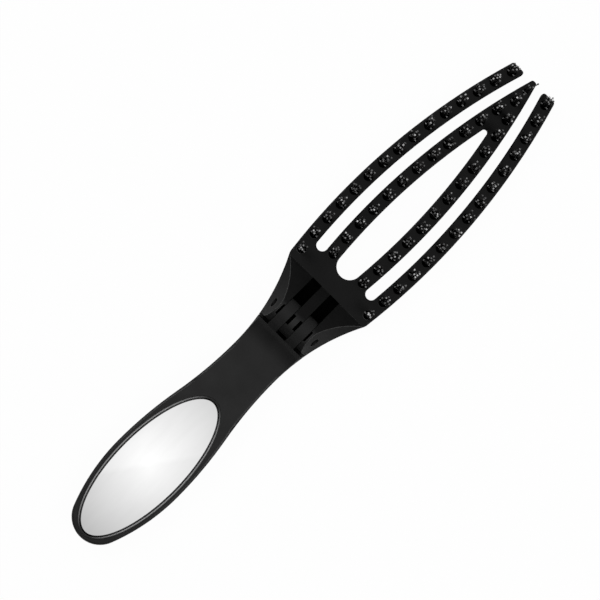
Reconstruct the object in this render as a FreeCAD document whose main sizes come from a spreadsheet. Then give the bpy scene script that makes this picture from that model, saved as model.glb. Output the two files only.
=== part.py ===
import FreeCAD, Part
import itertools
import math
import os
import re

import Sketcher
from FreeCAD import Placement, Rotation, Vector

# Folding hair brush: a fingered, vented head and a handle with a mirror, joined by a hinge.
# Everything is drawn about the hinge, with the head along +X, the handle along -X and the bristles along +Z.
# The finished pieces are shifted along X so that the origin lies under the middle of the open brush.
# The hinge axis lies above both front faces, so the head folds forward and shuts the bristles in.

SIZES = {
    # whole brush
    "handle_reach": 108.9,
    "head_reach": 122.6,
    "handle_thickness": 8.0,
    "prong_thickness": 5.0,
    "cut_overrun": 3.0,
    # handle outline
    "grip_from_end": 34.5,
    "grip_width": 29.65,
    "grip_side_radius": 77.0,
    "neck_station": 20.2,
    "neck_width": 20.1,
    "flare_radius": 80.0,
    "handle_front_round": 0.9,
    "handle_back_round": 2.2,
    # hinge
    "axis_height": 11.5,
    "barrel_radius": 5.85,
    "barrel_clearance": 0.3,
    "hinge_top_width": 16.4,
    "lug_offset": 2.3,
    "lug_width": 4.2,
    "side_clearance": 0.15,
    "notch_depth": 7.15,
    "stop_gap": 0.15,
    "lap_length": 0.6,
    "lap_inset": 0.2,
    "lap_clearance": 0.2,
    "handle_ramp_foot": 15.0,
    "handle_ramp_rise": 2.0,
    "head_ramp_foot": 16.2,
    "window_start": 5.0,
    "window_floor": 1.2,
    "pin_radius": 1.2,
    "pin_fit": 0.02,
    "pin_running_fit": 0.05,
    "pin_half_span": 8.1,
    "pin_head_radius": 1.75,
    "pin_head_thickness": 1.1,
    "pin_head_edge": 0.3,
    "pin_head_clearance": 0.1,
    "pin_head_gap": 0.05,
    "washer_radius": 2.12,
    "inner_washer_thickness": 1.05,
    "outer_washer_thickness": 0.75,
    "washer_clearance": 0.08,
    "washer_seat_gap": 0.05,
    # head outline
    "head_width": 42.5,
    "belly_share": 0.3997,
    "inner_belly_shift": 1.0,
    "tip_width": 20.95,
    "prong_setback": 0.32,
    "prong_width": 5.57,
    "gap_width": 4.325,
    "spear_end_width": 2.0,
    "gap_root_station": 26.8,
    "oval_root_end": 23.5,
    "oval_point_from_tip": 20.0,
    "oval_tip_round": 1.15,
    "shoulder_round": 4.0,
    "prong_tip_round": 1.0,
    "spear_tip_round": 0.9,
    "prong_front_round": 0.55,
    "prong_back_round": 0.6,
    # mirror
    "mirror_length": 65.75,
    "mirror_end_margin": 2.4,
    "mirror_side_margin": 2.4,
    "mirror_thickness": 1.8,
    "mirror_bevel": 0.35,
    "mirror_gap": 0.25,
    "mirror_sunk": 0.15,
    "tape_thickness": 0.4,
    "tape_inset": 1.5,
    "rim_width": 0.75,
    "rim_height": 0.45,
    "rim_round": 0.3,
    # handle cover
    "cover_thickness": 2.6,
    "cavity_depth": 1.7,
    "cavity_end": 14.0,
    "handle_wall": 2.4,
    "peg_radius": 1.2,
    "peg_fit": 0.05,
    "peg_end_gap": 0.2,
    "boss_radius": 2.6,
    # bristles
    "tuft_hole_radius": 1.72,
    "tuft_hole_depth": 3.4,
    "outer_row_start": 20.6,
    "outer_row_from_tip": 3.13,
    "inner_row_start": 27.3,
    "inner_row_end_spread": 2.5,
    "tip_tuft_from_tip": 10.2,
    "point_tuft_from_tip": 4.9,
    "point_hole_radius": 0.95,
    "boar_length": 9.6,
    "boar_base_radius": 0.66,
    "boar_tip_radius": 1.48,
    "ball_pin_length": 10.8,
    "ball_pin_radius": 0.3,
    "ball_radius": 0.52,
    "ball_pin_ring": 1.06,
    "point_pin_ring": 0.45,
    "ball_pin_lean": 4.0,
    "bristle_seat_gap": 0.05,
    "anchor_thickness": 0.4,
    "anchor_height": 1.0,
    "anchor_end_gap": 0.08,
}
OUTER_ROW_COUNT = 15
INNER_ROW_COUNT = 12
TUFT_PIN_COUNT = 6
POINT_PIN_COUNT = 3
PEG_STATION_SHARES = (0.17, 0.36, 0.52, 0.84)
# Two coordinates closer than this count as the same
SNAP = 0.001
# Radius that a circle is drawn with before its bound constraint sizes it
DRAWN_RADIUS = 1.0
# A sketch numbers the ends of a curve from one
CURVE_END_COUNT = 2

document = FreeCAD.newDocument("folding_brush")
sheet = document.addObject("Spreadsheet::Sheet", "sizes")
sub_parts = []


def fill_sheet():
    """One row for each driving size, with its name and its value under that alias."""
    for row, (alias, value) in enumerate(SIZES.items(), start=1):
        sheet.set(f"A{row}", alias)
        sheet.set(f"B{row}", str(value))
        sheet.setAlias(f"B{row}", alias)
    document.recompute()


def size(alias):
    return float(getattr(sheet, alias))


def bind(feature, path, text):
    """Binds a property to an expression in which every alias is read from the sheet."""
    expression = re.sub(r"[a-z_]+", lambda word: f"sizes.{word[0]}" if word[0] in SIZES else word[0], text)
    feature.setExpression(path, expression)


# Plane geometry

def arc_about(center, start, end):
    """The shorter arc from start to end about the center."""
    toward = (start - center).normalize() + (end - center).normalize()
    middle = center + toward.normalize() * (start - center).Length
    return Part.Arc(start, middle, end)


def flipped(point):
    return Vector(point.x, -point.y, 0)


def polyline(points):
    return [Part.LineSegment(first, second) for first, second in zip(points, points[1:])]


def rectangle(low, high):
    return polyline([low, Vector(high.x, low.y, 0), high, Vector(low.x, high.y, 0), low])


def tangent_point(center, radius, point, turn):
    """Where a line from the point touches the circle; turn is +1 or -1 and picks the side."""
    offset = point - center
    angle = math.atan2(offset.y, offset.x) + turn * math.acos(radius / offset.Length)
    return center + Vector(math.cos(angle), math.sin(angle), 0) * radius


def circle_crossing(first, first_radius, second, second_radius):
    """The crossing of two circles that lies to the left of the line from the first center to the second."""
    between = second - first
    along = (first_radius ** 2 - second_radius ** 2 + between.Length ** 2) / (2 * between.Length)
    across = math.sqrt(first_radius ** 2 - along ** 2)
    direction = Vector(between).normalize()
    return first + direction * along + Vector(-direction.y, direction.x, 0) * across


def nose_radius(side_radius, crown, reach):
    """Radius of the arc that ends a pointed oval of two equal arcs at a reach from its middle."""
    return (side_radius ** 2 - (side_radius - crown) ** 2 - reach ** 2) / (2 * (side_radius - reach))


def flare_center():
    return Vector(-size("neck_station"), size("neck_width") / 2 + size("flare_radius"), 0)


def flare_point(station):
    """Point on the side of the brush where it widens from the neck through the hinge to the shoulder."""
    center = flare_center()
    reach = station - center.x
    return Vector(station, center.y - math.sqrt(size("flare_radius") ** 2 - reach ** 2), 0)


def grip_station():
    return size("handle_reach") - size("grip_from_end")


def mirror_station():
    return size("handle_reach") - size("mirror_end_margin") - size("mirror_length") / 2


def mirror_width():
    return size("grip_width") - 2 * size("mirror_side_margin")


def prong_reach():
    return size("head_reach") - size("prong_setback")


def circle(center, radius):
    return Part.Circle(center, Vector(0, 0, 1), radius)


def sweep(crown, belly, tip):
    """Circle that is level at the belly station, a crown away from the middle line, and passes the tip."""
    drop = crown - tip.y
    run = tip.x - belly
    radius = (drop ** 2 + run ** 2) / (2 * drop)
    return circle(Vector(belly, crown - radius, 0), radius)


def prong_edges():
    """Circles of the lengthwise edges of the two prongs on one side, from the outside of the head inward."""
    width = size("prong_width")
    crown = size("head_width") / 2
    inner_crown = crown - width - size("gap_width")
    belly = size("head_reach") * size("belly_share")
    inner_belly = belly + size("inner_belly_shift")
    prong_tip = Vector(prong_reach(), size("tip_width") / 2, 0)
    spear_tip = Vector(size("head_reach"), size("spear_end_width") / 2, 0)
    oval_point = Vector(size("head_reach") - size("oval_point_from_tip"), 0, 0)
    outer = sweep(crown, belly, prong_tip)
    return {
        "outer_edge": outer,
        "outer_side": circle(outer.Center, outer.Radius - width),
        "inner_side": sweep(inner_crown, inner_belly, spear_tip),
        "inner_edge": sweep(inner_crown - width, inner_belly, oval_point),
    }


def edge_point(edge, station):
    """Point at a station on an edge of a prong."""
    reach = station - edge.Center.x
    return Vector(station, edge.Center.y + math.sqrt(edge.Radius ** 2 - reach ** 2), 0)


def handle_outline(inset, hinge_end):
    """Closed outline of the handle in plan, moved in by an inset and ended square at the hinge."""
    grip = Vector(-grip_station(), size("grip_width") / 2 - inset, 0)
    neck = Vector(-size("neck_station"), size("neck_width") / 2 - inset, 0)
    side_radius = size("grip_side_radius") - inset
    end_reach = size("grip_from_end") - inset
    flare_radius = size("flare_radius") + inset
    end = Vector(grip.x - end_reach, 0, 0)
    end_center = end + Vector(nose_radius(side_radius, grip.y, end_reach), 0, 0)
    side_center = grip - Vector(0, side_radius, 0)
    end_corner = side_center + (end_center - side_center).normalize() * side_radius
    length = neck.x - grip.x
    drop = grip.y - neck.y
    turn_radius = (length ** 2 + drop ** 2) / (4 * drop)
    waist = (grip + neck) / 2
    neck_center = neck + Vector(0, flare_radius, 0)
    reach = hinge_end - neck.x
    corner = Vector(hinge_end, neck_center.y - math.sqrt(flare_radius ** 2 - reach ** 2), 0)
    stretches = [
        (neck_center, corner, neck),
        (neck + Vector(0, turn_radius, 0), neck, waist),
        (grip - Vector(0, turn_radius, 0), waist, grip),
        (side_center, grip, end_corner),
    ]
    near = [arc_about(*stretch) for stretch in stretches]
    far = [arc_about(*map(flipped, stretch)) for stretch in reversed(stretches)]
    nose = Part.Arc(end_corner, end, flipped(end_corner))
    return near + [nose] + far + [Part.LineSegment(flipped(corner), corner)]


def head_side():
    """Corners of one side of the head in plan, from the hinge to the tip."""
    edges = prong_edges()
    outer = edges["outer_edge"]
    round_radius = size("shoulder_round")
    flare = flare_center()
    flare_radius = size("flare_radius")
    bend = circle_crossing(flare, flare_radius + round_radius, outer.Center, outer.Radius - round_radius)
    gap_outer = edge_point(edges["outer_side"], size("gap_root_station"))
    gap_inner = edge_point(edges["inner_side"], size("gap_root_station"))
    across = (gap_outer - gap_inner) / 2
    return {
        "hinge": flare_point(size("stop_gap") - size("notch_depth")),
        "bend_center": bend,
        "bend_start": flare + (bend - flare).normalize() * flare_radius,
        "bend_end": outer.Center + (bend - outer.Center).normalize() * outer.Radius,
        "outer_tip": edge_point(outer, prong_reach()),
        "inner_tip": edge_point(edges["outer_side"], prong_reach()),
        "gap_outer": gap_outer,
        "gap_end": gap_inner + across + Vector(-across.y, across.x, 0),
        "gap_inner": gap_inner,
        "spear_tip": edge_point(edges["inner_side"], size("head_reach")),
    }


def head_outline():
    """Closed outline of the head in plan, without the oval vent."""
    side = head_side()
    edges = prong_edges()

    def half(turn):
        at = {name: turn(point) for name, point in side.items()}
        outer_center = turn(edges["outer_edge"].Center)
        inner_center = turn(edges["inner_side"].Center)
        return [
            arc_about(turn(flare_center()), at["hinge"], at["bend_start"]),
            arc_about(at["bend_center"], at["bend_start"], at["bend_end"]),
            arc_about(outer_center, at["bend_end"], at["outer_tip"]),
            Part.LineSegment(at["outer_tip"], at["inner_tip"]),
            arc_about(outer_center, at["inner_tip"], at["gap_outer"]),
            Part.Arc(at["gap_outer"], at["gap_end"], at["gap_inner"]),
            arc_about(inner_center, at["gap_inner"], at["spear_tip"]),
        ]

    tip = Part.LineSegment(side["spear_tip"], flipped(side["spear_tip"]))
    hinge = Part.LineSegment(flipped(side["hinge"]), side["hinge"])
    return half(Vector) + [tip] + half(flipped)[::-1] + [hinge]


def oval_vent():
    """Closed outline of the vent between the inner prongs: two long arcs with a round end at each end."""
    edge = prong_edges()["inner_edge"]
    center = edge.Center
    radius = edge.Radius
    root = Vector(size("oval_root_end"), 0, 0)
    root_round = nose_radius(radius, center.y + radius, center.x - root.x)
    root_corner = center + (root + Vector(root_round, 0, 0) - center).normalize() * radius
    tip_round = size("oval_tip_round")
    tip_center = Vector(center.x + math.sqrt((radius - tip_round) ** 2 - center.y ** 2), 0, 0)
    tip_corner = center + (tip_center - center).normalize() * radius
    tip = tip_center + Vector(tip_round, 0, 0)
    return [
        arc_about(center, root_corner, tip_corner),
        Part.Arc(tip_corner, tip, flipped(tip_corner)),
        arc_about(flipped(center), flipped(tip_corner), flipped(root_corner)),
        Part.Arc(flipped(root_corner), root, root_corner),
    ]


def axis_point():
    """Hinge axis in a side view, where the sketch's second direction is up."""
    return Vector(0, size("axis_height"), 0)


def hinge_top():
    return size("axis_height") + size("barrel_radius")


def lap_end():
    """How far the tongue of the head reaches under the handle."""
    return -size("notch_depth") - size("lap_length")


# Document features

def origin_feature(body, role):
    return next(feature for feature in body.Origin.OriginFeatures if feature.Role == role)


def new_body(label):
    body = document.addObject("PartDesign::Body", label)
    bind(body, "Placement.Base.x", "( handle_reach - head_reach ) / 2")
    sub_parts.append(body)
    return body


def new_sketch(body, name, plane, level="0"):
    """Sketch on an origin plane; the level is measured up from XY_Plane or toward -Y from XZ_Plane."""
    sketch = body.newObject("Sketcher::SketchObject", f"{body.Name}_{name}")
    sketch.AttachmentSupport = [(origin_feature(body, plane), "")]
    sketch.MapMode = "FlatFace"
    bind(sketch, "AttachmentOffset.Base.z", level)
    return sketch


def touching_ends(sketch, first, second):
    """Which end of each of two neighbouring curves lies at their joint."""
    def apart(ends):
        near, far = ends
        return (sketch.getPoint(first, near) - sketch.getPoint(second, far)).Length
    numbers = range(1, CURVE_END_COUNT + 1)
    return min(itertools.product(numbers, numbers), key=apart)


def add_loop(sketch, curves):
    """Adds a closed run of curves and ties each curve to the next."""
    first = sketch.GeometryCount
    sketch.addGeometry(curves, False)
    count = len(curves)
    neighbours = [(first + index, first + (index + 1) % count) for index in range(count)]
    joints = [(pair, touching_ends(sketch, *pair)) for pair in neighbours]
    for (near, far), (near_end, far_end) in joints:
        sketch.addConstraint(Sketcher.Constraint("Coincident", near, near_end, far, far_end))


def add_circle(sketch, center, radius):
    """Adds a circle whose radius is bound to an expression of the sheet."""
    index = sketch.addGeometry(circle(center, DRAWN_RADIUS), False)
    constraint = sketch.addConstraint(Sketcher.Constraint("Radius", index, DRAWN_RADIUS))
    bind(sketch, f"Constraints[{constraint}]", radius)


def add_ellipse(sketch, station, half_length, half_width):
    center = Vector(station, 0, 0)
    sketch.addGeometry(Part.Ellipse(center, half_length, half_width), False)


def extrude(body, kind, name, sketch, length, reverse=False):
    feature = body.newObject(f"PartDesign::{kind}", f"{body.Name}_{name}")
    feature.Profile = sketch
    feature.Reversed = reverse
    bind(feature, "Length", length)
    document.recompute()
    return feature


def pad(body, name, sketch, length):
    return extrude(body, "Pad", name, sketch, length)


def pocket(body, name, sketch, length, reverse=False):
    """Cuts against the sketch's normal, or along it when reversed."""
    return extrude(body, "Pocket", name, sketch, length, reverse)


def pocket_through(body, name, sketch):
    feature = body.newObject("PartDesign::Pocket", f"{body.Name}_{name}")
    feature.Profile = sketch
    feature.SideType = "Two sides"
    feature.Type = "ThroughAll"
    feature.Type2 = "ThroughAll"
    document.recompute()


def ruled_loft(body, name, lower, upper):
    feature = body.newObject("PartDesign::AdditiveLoft", f"{body.Name}_{name}")
    feature.Profile = lower
    feature.Sections = [(upper, [""])]
    feature.Ruled = True
    document.recompute()


def mirror_across(body, name, features):
    feature = body.newObject("PartDesign::Mirrored", f"{body.Name}_{name}")
    feature.Originals = features
    feature.MirrorPlane = (origin_feature(body, "XZ_Plane"), [""])
    body.Tip = feature
    document.recompute()


def dress(body, kind, name, base, wanted, prop, alias):
    """Fillet or chamfer on every edge of the base that the wanted test accepts."""
    names = [f"Edge{number}" for number, edge in enumerate(base.Shape.Edges, start=1) if wanted(edge)]
    feature = body.newObject(f"PartDesign::{kind}", f"{body.Name}_{name}")
    feature.Base = (base, names)
    bind(feature, prop, alias)
    document.recompute()
    return feature


def fillet(body, name, base, wanted, alias):
    return dress(body, "Fillet", name, base, wanted, "Radius", alias)


def upright_at(points):
    """Test for upright edges that stand at one of the points."""
    def wanted(edge):
        box = edge.BoundBox
        at_point = any(math.hypot(box.Center.x - point.x, box.Center.y - point.y) < SNAP for point in points)
        return at_point and box.ZLength > SNAP
    return wanted


def level_at(height, square_end=None):
    """Test for edges that lie flat at a height, without the one across the square end at the hinge."""
    def wanted(edge):
        box = edge.BoundBox
        flat = abs(box.ZMin - height) < SNAP and abs(box.ZMax - height) < SNAP
        left_sharp = square_end is not None and box.XLength < SNAP and abs(box.XMin - square_end) < SNAP
        return flat and not left_sharp
    return wanted


# Handle

def peg_points():
    return [Vector(-share * size("handle_reach"), 0, 0) for share in PEG_STATION_SHARES]


def handle_shell(body):
    """Hollow grip with rounded front edges, open at the back."""
    end = -size("notch_depth")
    plan = new_sketch(body, "plan", "XY_Plane", "cover_thickness")
    add_loop(plan, handle_outline(0, end))
    slab = pad(body, "slab", plan, "handle_thickness - cover_thickness")
    fillet(body, "front_round", slab, level_at(size("handle_thickness"), end), "handle_front_round")


def handle_ramp(body):
    """Ramp across the end of the handle, rising to the hinge between leaning sides."""
    end = -size("notch_depth")
    start = -size("handle_ramp_foot") - size("cut_overrun")
    lower = new_sketch(body, "ramp_foot", "XY_Plane", "handle_thickness - handle_front_round")
    add_loop(lower, flared_strip(start, end))
    upper = new_sketch(body, "ramp_top", "XY_Plane", "axis_height + barrel_radius")
    add_loop(upper, straight_strip(start, end))
    ruled_loft(body, "ramp", lower, upper)
    foot = Vector(-size("handle_ramp_foot"), size("handle_thickness"), 0)
    crest = Vector(end, size("handle_thickness") + size("handle_ramp_rise"), 0)
    run = crest - foot
    center = foot + Vector(0, run.Length ** 2 / (2 * run.y), 0)
    far = start - size("cut_overrun")
    high = hinge_top() + size("cut_overrun")
    past = end + size("cut_overrun")
    corners = [
        crest,
        Vector(past, crest.y, 0),
        Vector(past, high, 0),
        Vector(far, high, 0),
        Vector(far, foot.y, 0),
        foot,
    ]
    profile = new_sketch(body, "ramp_profile", "XZ_Plane")
    add_loop(profile, [arc_about(center, foot, crest)] + polyline(corners))
    pocket_through(body, "ramp_cut", profile)


def handle_lugs(body):
    """Two lugs that turn about the pin, each a barrel on an arm."""
    axis = axis_point()
    radius = size("barrel_radius")
    crest = Vector(-size("notch_depth"), size("handle_thickness") + size("handle_ramp_rise"), 0)
    rooted = crest.x - size("cut_overrun")
    touch = tangent_point(axis, radius, crest, -1)
    bottom = axis - Vector(0, radius, 0)
    nose = axis + Vector(radius, 0, 0)
    corners = [touch, crest, Vector(rooted, size("handle_thickness"), 0), Vector(rooted, bottom.y, 0), bottom]
    profile = new_sketch(body, "lug_profile", "XZ_Plane", "lug_offset")
    add_loop(profile, [Part.Arc(bottom, nose, touch)] + polyline(corners))
    lug = pad(body, "lug", profile, "lug_width")
    mirror_across(body, "lugs", [lug])
    bore = new_sketch(body, "bore_circle", "XZ_Plane")
    add_circle(bore, axis, "pin_radius + pin_running_fit")
    pocket_through(body, "pin_bore", bore)


def mirror_seat(body):
    """Oval recess for the mirror with a rounded bead round its edge."""
    station = -mirror_station()
    half_length = size("mirror_length") / 2 + size("mirror_gap")
    half_width = mirror_width() / 2 + size("mirror_gap")
    rim = size("rim_width")
    bead = new_sketch(body, "bead_oval", "XY_Plane", "handle_thickness")
    add_ellipse(bead, station, half_length + rim, half_width + rim)
    pad(body, "bead", bead, "rim_height")
    recess = new_sketch(body, "recess_oval", "XY_Plane", "handle_thickness + rim_height")
    add_ellipse(recess, station, half_length, half_width)
    cut = pocket(body, "recess", recess, "rim_height + mirror_sunk + mirror_thickness + tape_thickness")
    fillet(body, "bead_round", cut, level_at(size("handle_thickness") + size("rim_height")), "rim_round")


def handle_cavity(body):
    """Hollow at the back, with bosses for the pegs of the cover."""
    hollow = new_sketch(body, "hollow_plan", "XY_Plane", "cover_thickness")
    add_loop(hollow, handle_outline(size("handle_wall"), -size("cavity_end")))
    pocket(body, "hollow", hollow, "cavity_depth", reverse=True)
    bosses = new_sketch(body, "boss_circles", "XY_Plane", "cover_thickness")
    holes = new_sketch(body, "socket_circles", "XY_Plane", "cover_thickness")
    for point in peg_points():
        add_circle(bosses, point, "boss_radius")
        add_circle(holes, point, "peg_radius + peg_fit")
    pad(body, "bosses", bosses, "cavity_depth")
    pocket(body, "sockets", holes, "cavity_depth", reverse=True)


def build_handle_body():
    body = new_body("handle_body")
    handle_shell(body)
    handle_ramp(body)
    handle_lugs(body)
    mirror_seat(body)
    handle_cavity(body)


def build_handle_back_cover():
    """Flat back of the handle with rounded edges and four pegs, ended short of the tongue of the head."""
    body = new_body("handle_back_cover")
    end = lap_end() - size("stop_gap")
    plan = new_sketch(body, "plan", "XY_Plane")
    add_loop(plan, handle_outline(0, end))
    slab = pad(body, "slab", plan, "cover_thickness")
    fillet(body, "back_round", slab, level_at(0, end), "handle_back_round")
    pegs = new_sketch(body, "peg_circles", "XY_Plane", "cover_thickness")
    for point in peg_points():
        add_circle(pegs, point, "peg_radius")
    pad(body, "pegs", pegs, "cavity_depth - peg_end_gap")


def build_mirror():
    """Bevelled oval mirror on a thinner oval of tape."""
    station = -mirror_station()
    half_length = size("mirror_length") / 2
    half_width = mirror_width() / 2
    inset = size("tape_inset")
    floor = "handle_thickness - mirror_sunk - mirror_thickness"
    plate = new_body("mirror_plate")
    oval = new_sketch(plate, "oval", "XY_Plane", floor)
    add_ellipse(oval, station, half_length, half_width)
    glass = pad(plate, "glass", oval, "mirror_thickness")
    front = size("handle_thickness") - size("mirror_sunk")
    dress(plate, "Chamfer", "bevel", glass, level_at(front), "Size", "mirror_bevel")
    tape = new_body("mirror_tape")
    oval = new_sketch(tape, "oval", "XY_Plane", f"{floor} - tape_thickness")
    add_ellipse(oval, station, half_length - inset, half_width - inset)
    pad(tape, "film", oval, "tape_thickness")


# Hinge

def flared_strip(start, end):
    """Closed outline between two stations along the flared sides of the brush."""
    near = flare_point(start)
    far = flare_point(end)
    center = flare_center()
    return [
        Part.LineSegment(flipped(near), near),
        arc_about(center, near, far),
        Part.LineSegment(far, flipped(far)),
        arc_about(flipped(center), flipped(far), flipped(near)),
    ]


def straight_strip(start, end):
    """Closed outline between two stations with straight sides, as wide as the top of the hinge."""
    half = size("hinge_top_width") / 2
    corners = [Vector(start, -half, 0), Vector(start, half, 0), Vector(end, half, 0), Vector(end, -half, 0)]
    return polyline(corners + corners[:1])


def build_hinge_pin():
    """Pin with a low head formed at each end, turned about its own length."""
    body = new_body("hinge_pin")
    bind(body, "Placement.Base.z", "axis_height")
    radius = size("pin_radius")
    head = size("pin_head_radius")
    edge = size("pin_head_edge")
    shoulder = size("pin_half_span") + size("pin_head_gap")
    end = shoulder + size("pin_head_thickness")
    upper = [
        Vector(radius, shoulder, 0),
        Vector(head, shoulder, 0),
        Vector(head, end - edge, 0),
        Vector(head - edge, end, 0),
        Vector(0, end, 0),
    ]
    corners = [flipped(point) for point in reversed(upper)] + upper
    profile = new_sketch(body, "profile", "XY_Plane")
    add_loop(profile, polyline(corners + corners[:1]))
    turned = body.newObject("PartDesign::Revolution", "hinge_pin_turned")
    turned.Profile = profile
    turned.ReferenceAxis = (origin_feature(body, "Y_Axis"), [""])
    document.recompute()


def build_friction_washers():
    """A washer in each pocket beside a lug; the level is where its face away from +Y begins."""
    levels = {
        "inner": "lug_offset - side_clearance - inner_washer_thickness + washer_seat_gap",
        "outer": "lug_offset + lug_width + side_clearance - washer_seat_gap",
    }
    for place, level in levels.items():
        thickness = f"{place}_washer_thickness"
        for side, start in (("right", level), ("left", f"- ( {level} ) - {thickness}")):
            body = new_body(f"friction_washer_{side}_{place}")
            bind(body, "Placement.Base.z", "axis_height")
            ring = new_sketch(body, "ring", "XZ_Plane", start)
            add_circle(ring, Vector(), "washer_radius")
            add_circle(ring, Vector(), "pin_radius + washer_clearance")
            pad(body, "disc", ring, thickness)


# Head

def head_plate(body):
    """Flat fork of four prongs with rounded edges."""
    side = head_side()
    end = side["hinge"].x
    plan = new_sketch(body, "plan", "XY_Plane")
    add_loop(plan, head_outline())
    add_loop(plan, oval_vent())
    slab = pad(body, "slab", plan, "prong_thickness")

    def both(*names):
        return [point for name in names for point in (side[name], flipped(side[name]))]

    rounded = fillet(body, "prong_ends", slab, upright_at(both("outer_tip", "inner_tip")), "prong_tip_round")
    rounded = fillet(body, "spear_end", rounded, upright_at(both("spear_tip")), "spear_tip_round")
    front = level_at(size("prong_thickness"), end)
    rounded = fillet(body, "front_round", rounded, front, "prong_front_round")
    fillet(body, "back_round", rounded, level_at(0, end), "prong_back_round")


def head_lap(body):
    """Low tongue under the end of the handle, which closes the slit between them while the brush is open."""
    hinge = head_side()["hinge"]
    half = hinge.y - size("lap_inset")
    plan = new_sketch(body, "lap_plan", "XY_Plane", "prong_back_round")
    add_loop(plan, rectangle(Vector(lap_end(), -half, 0), Vector(hinge.x + size("cut_overrun"), half, 0)))
    pad(body, "lap", plan, "cover_thickness - lap_clearance - prong_back_round")


def head_hinge_block(body):
    """Ramped block that carries the knuckles; its leaning sides follow the flare up to the shoulders."""
    axis = axis_point()
    radius = size("barrel_radius")
    overrun = size("cut_overrun")
    end = head_side()["hinge"].x
    start = end - overrun
    stop = head_side()["bend_start"].x
    lower = new_sketch(body, "block_foot", "XY_Plane", "prong_thickness - prong_front_round")
    add_loop(lower, flared_strip(start, stop))
    upper = new_sketch(body, "block_top", "XY_Plane", "axis_height + barrel_radius")
    add_loop(upper, straight_strip(start, stop))
    ruled_loft(body, "block", lower, upper)
    foot = Vector(size("head_ramp_foot"), size("prong_thickness"), 0)
    touch = tangent_point(axis, radius, foot, 1)
    top = axis + Vector(0, radius, 0)
    back = axis - Vector(radius, 0, 0)
    floor = axis.y - radius - size("barrel_clearance")
    high = top.y + overrun
    corners = [
        back,
        Vector(back.x, floor, 0),
        Vector(end, floor, 0),
        Vector(end, foot.y - overrun, 0),
        Vector(start - overrun, foot.y - overrun, 0),
        Vector(start - overrun, high, 0),
        Vector(stop + overrun, high, 0),
        Vector(stop + overrun, foot.y, 0),
        foot,
        touch,
    ]
    profile = new_sketch(body, "block_profile", "XZ_Plane")
    add_loop(profile, [Part.Arc(touch, top, back)] + polyline(corners))
    pocket_through(body, "block_cut", profile)


def head_lug_space(body):
    """Slots that the lugs turn in, with the windows beyond them and the washer pockets beside them."""
    axis = axis_point()
    swept = size("barrel_radius") + size("barrel_clearance")
    high = hinge_top() + size("cut_overrun")
    far = -size("notch_depth") - size("cut_overrun")
    low = axis - Vector(0, swept, 0)
    nose = axis + Vector(swept, 0, 0)
    corners = [nose, Vector(swept, high, 0), Vector(far, high, 0), Vector(far, low.y, 0), low]
    slot = new_sketch(body, "slot_profile", "XZ_Plane", "lug_offset - side_clearance")
    add_loop(slot, [arc_about(axis, low, nose)] + polyline(corners))
    cuts = [pocket(body, "lug_slot", slot, "lug_width + 2 * side_clearance", reverse=True)]
    near = -size("lug_offset") + size("side_clearance")
    wide = -size("lug_offset") - size("lug_width") - size("side_clearance")
    window = new_sketch(body, "window_plan", "XY_Plane", "axis_height + barrel_radius")
    low_corner = Vector(size("window_start"), wide, 0)
    high_corner = Vector(size("head_ramp_foot"), near, 0)
    add_loop(window, rectangle(low_corner, high_corner))
    cuts.append(pocket(body, "window", window, "axis_height + barrel_radius - window_floor"))
    reach = size("washer_radius") + size("washer_clearance")
    left = axis - Vector(reach, 0, 0)
    right = axis + Vector(reach, 0, 0)
    below = axis - Vector(0, reach, 0)
    corners = [right, Vector(reach, high, 0), Vector(-reach, high, 0), left]
    levels = {
        "inner": "lug_offset - side_clearance - inner_washer_thickness",
        "outer": "lug_offset + lug_width + side_clearance",
    }
    for name, level in levels.items():
        profile = new_sketch(body, f"{name}_washer_profile", "XZ_Plane", level)
        add_loop(profile, [Part.Arc(left, below, right)] + polyline(corners))
        cuts.append(pocket(body, f"{name}_washer_pocket", profile, f"{name}_washer_thickness", reverse=True))
    mirror_across(body, "hinge_cuts", cuts)


def head_pin_bore(body):
    """Bore for the pin, with a counterbore in each leaning side for its heads."""
    axis = axis_point()
    bore = new_sketch(body, "bore_circle", "XZ_Plane")
    add_circle(bore, axis, "pin_radius + pin_fit")
    pocket_through(body, "pin_bore", bore)
    seat = new_sketch(body, "seat_circle", "XZ_Plane", "pin_half_span")
    add_circle(seat, axis, "pin_head_radius + pin_head_clearance")
    cut = pocket(body, "pin_seat", seat, "head_width / 2", reverse=True)
    mirror_across(body, "pin_seats", [cut])


def head_tuft_holes(body):
    """Blind holes for the tufts."""
    holes = new_sketch(body, "tuft_circles", "XY_Plane", "prong_thickness")
    for points in tuft_rows().values():
        for point in points:
            alias = "point_hole_radius" if is_point_tuft(point) else "tuft_hole_radius"
            add_circle(holes, point, alias)
    pocket(body, "tuft_holes", holes, "tuft_hole_depth")


def build_head_frame():
    body = new_body("head_frame")
    head_plate(body)
    head_lap(body)
    head_hinge_block(body)
    head_lug_space(body)
    head_pin_bore(body)
    head_tuft_holes(body)


# Bristles

def point_tuft():
    """The small tuft at the very tip of the spear."""
    return Vector(size("head_reach") - size("point_tuft_from_tip"), 0, 0)


def is_point_tuft(point):
    return (point - point_tuft()).Length < SNAP


def row_points(path, start, end, count):
    """Points spaced evenly along a circle that follows the prongs, between two stations."""
    first = math.asin((start - path.Center.x) / path.Radius)
    last = math.asin((end - path.Center.x) / path.Radius)
    angles = [first + (last - first) * index / (count - 1) for index in range(count)]
    return [path.Center + Vector(math.sin(angle), math.cos(angle), 0) * path.Radius for angle in angles]


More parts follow.
